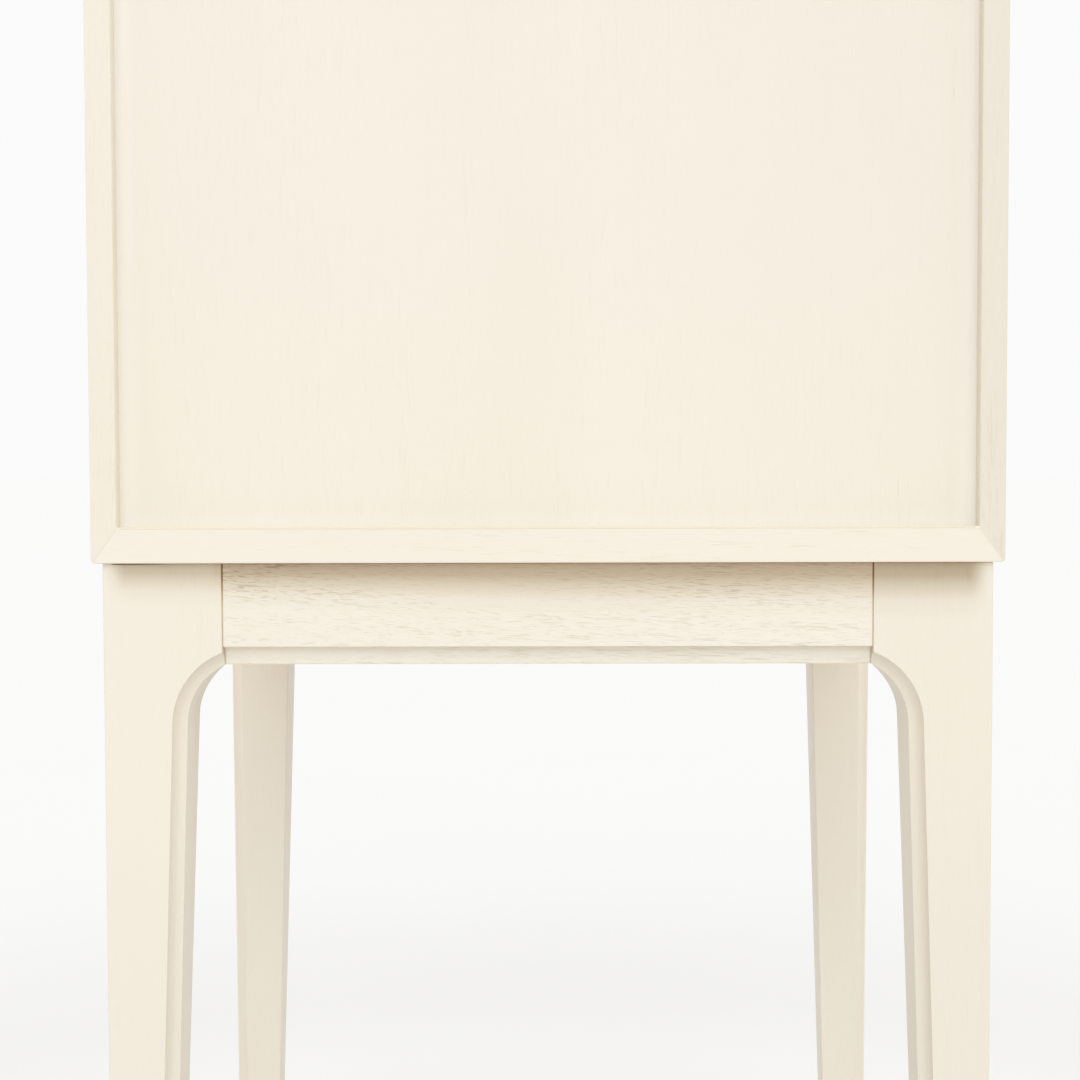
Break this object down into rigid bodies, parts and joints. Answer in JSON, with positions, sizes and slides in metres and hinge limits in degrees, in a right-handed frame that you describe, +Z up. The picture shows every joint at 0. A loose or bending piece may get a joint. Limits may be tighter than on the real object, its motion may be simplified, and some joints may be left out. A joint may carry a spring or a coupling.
{
  "type": "apothecary cabinet",
  "caption": "Cream-painted oak cabinet of small drawers on a tall stand with tapered, coved legs and a plain recessed back panel.",
  "frame": {"origin": "on the floor under the centre of the overall box, knobs included", "axes": "+Z up; the drawers open towards -Y; the plain recessed back faces +Y; +X to the right seen from the drawer side"},
  "size_m": [0.508, 0.4789, 1.14],
  "materials": {
    "painted_oak": "satin cream paint over open-grained oak",
    "bare_wood": "sanded, unpainted beech",
    "drawer_wood": "clear satin lacquer over pale oak",
    "brass": "brushed, slightly aged",
    "steel": "zinc plated",
    "glide": "dark brown nylon"
  },
  "bodies": {
    "cabinet": {"case_top": "painted_oak", "case_bottom": "painted_oak", "case_side_left": "painted_oak", "case_side_right": "painted_oak", "back_panel": "painted_oak", "divider_left": "painted_oak", "divider_right": "painted_oak", "shelf_lower": "painted_oak", "shelf_middle": "painted_oak", "shelf_upper": "painted_oak", "leg_front_left": "painted_oak", "leg_front_right": "painted_oak", "leg_rear_left": "painted_oak", "leg_rear_right": "painted_oak", "apron_front": "painted_oak", "apron_rear": "painted_oak", "apron_left": "painted_oak", "apron_right": "painted_oak", "corner_splines": "bare_wood", "drawer_stops": "bare_wood", "apron_dowels": "bare_wood", "cleats": "bare_wood", "stand_screws": "steel", "foot_glides": "glide"},
    "drawer_row_1_column_1": {"drawer_front_row_1_column_1": "painted_oak", "drawer_box_row_1_column_1": "drawer_wood", "drawer_knob_row_1_column_1": "brass"},
    "drawer_row_1_column_2": {"drawer_front_row_1_column_2": "painted_oak", "drawer_box_row_1_column_2": "drawer_wood", "drawer_knob_row_1_column_2": "brass"},
    "drawer_row_1_column_3": {"drawer_front_row_1_column_3": "painted_oak", "drawer_box_row_1_column_3": "drawer_wood", "drawer_knob_row_1_column_3": "brass"},
    "drawer_row_2_column_1": {"drawer_front_row_2_column_1": "painted_oak", "drawer_box_row_2_column_1": "drawer_wood", "drawer_knob_row_2_column_1": "brass"},
    "drawer_row_2_column_2": {"drawer_front_row_2_column_2": "painted_oak", "drawer_box_row_2_column_2": "drawer_wood", "drawer_knob_row_2_column_2": "brass"},
    "drawer_row_2_column_3": {"drawer_front_row_2_column_3": "painted_oak", "drawer_box_row_2_column_3": "drawer_wood", "drawer_knob_row_2_column_3": "brass"},
    "drawer_row_3_column_1": {"drawer_front_row_3_column_1": "painted_oak", "drawer_box_row_3_column_1": "drawer_wood", "drawer_knob_row_3_column_1": "brass"},
    "drawer_row_3_column_2": {"drawer_front_row_3_column_2": "painted_oak", "drawer_box_row_3_column_2": "drawer_wood", "drawer_knob_row_3_column_2": "brass"},
    "drawer_row_3_column_3": {"drawer_front_row_3_column_3": "painted_oak", "drawer_box_row_3_column_3": "drawer_wood", "drawer_knob_row_3_column_3": "brass"},
    "drawer_row_4_column_1": {"drawer_front_row_4_column_1": "painted_oak", "drawer_box_row_4_column_1": "drawer_wood", "drawer_knob_row_4_column_1": "brass"},
    "drawer_row_4_column_2": {"drawer_front_row_4_column_2": "painted_oak", "drawer_box_row_4_column_2": "drawer_wood", "drawer_knob_row_4_column_2": "brass"},
    "drawer_row_4_column_3": {"drawer_front_row_4_column_3": "painted_oak", "drawer_box_row_4_column_3": "drawer_wood", "drawer_knob_row_4_column_3": "brass"}
  },
  "joints": [
    {"name": "drawer_row_1_column_1_slide", "type": "slide", "parent": "cabinet", "child": "drawer_row_1_column_1", "axis": [0, -1, 0], "range_m": [0, 0.3]},
    {"name": "drawer_row_1_column_2_slide", "type": "slide", "parent": "cabinet", "child": "drawer_row_1_column_2", "axis": [0, -1, 0], "range_m": [0, 0.3]},
    {"name": "drawer_row_1_column_3_slide", "type": "slide", "parent": "cabinet", "child": "drawer_row_1_column_3", "axis": [0, -1, 0], "range_m": [0, 0.3]},
    {"name": "drawer_row_2_column_1_slide", "type": "slide", "parent": "cabinet", "child": "drawer_row_2_column_1", "axis": [0, -1, 0], "range_m": [0, 0.3]},
    {"name": "drawer_row_2_column_2_slide", "type": "slide", "parent": "cabinet", "child": "drawer_row_2_column_2", "axis": [0, -1, 0], "range_m": [0, 0.3]},
    {"name": "drawer_row_2_column_3_slide", "type": "slide", "parent": "cabinet", "child": "drawer_row_2_column_3", "axis": [0, -1, 0], "range_m": [0, 0.3]},
    {"name": "drawer_row_3_column_1_slide", "type": "slide", "parent": "cabinet", "child": "drawer_row_3_column_1", "axis": [0, -1, 0], "range_m": [0, 0.3]},
    {"name": "drawer_row_3_column_2_slide", "type": "slide", "parent": "cabinet", "child": "drawer_row_3_column_2", "axis": [0, -1, 0], "range_m": [0, 0.3]},
    {"name": "drawer_row_3_column_3_slide", "type": "slide", "parent": "cabinet", "child": "drawer_row_3_column_3", "axis": [0, -1, 0], "range_m": [0, 0.3]},
    {"name": "drawer_row_4_column_1_slide", "type": "slide", "parent": "cabinet", "child": "drawer_row_4_column_1", "axis": [0, -1, 0], "range_m": [0, 0.3]},
    {"name": "drawer_row_4_column_2_slide", "type": "slide", "parent": "cabinet", "child": "drawer_row_4_column_2", "axis": [0, -1, 0], "range_m": [0, 0.3]},
    {"name": "drawer_row_4_column_3_slide", "type": "slide", "parent": "cabinet", "child": "drawer_row_4_column_3", "axis": [0, -1, 0], "range_m": [0, 0.3]}
  ]
}
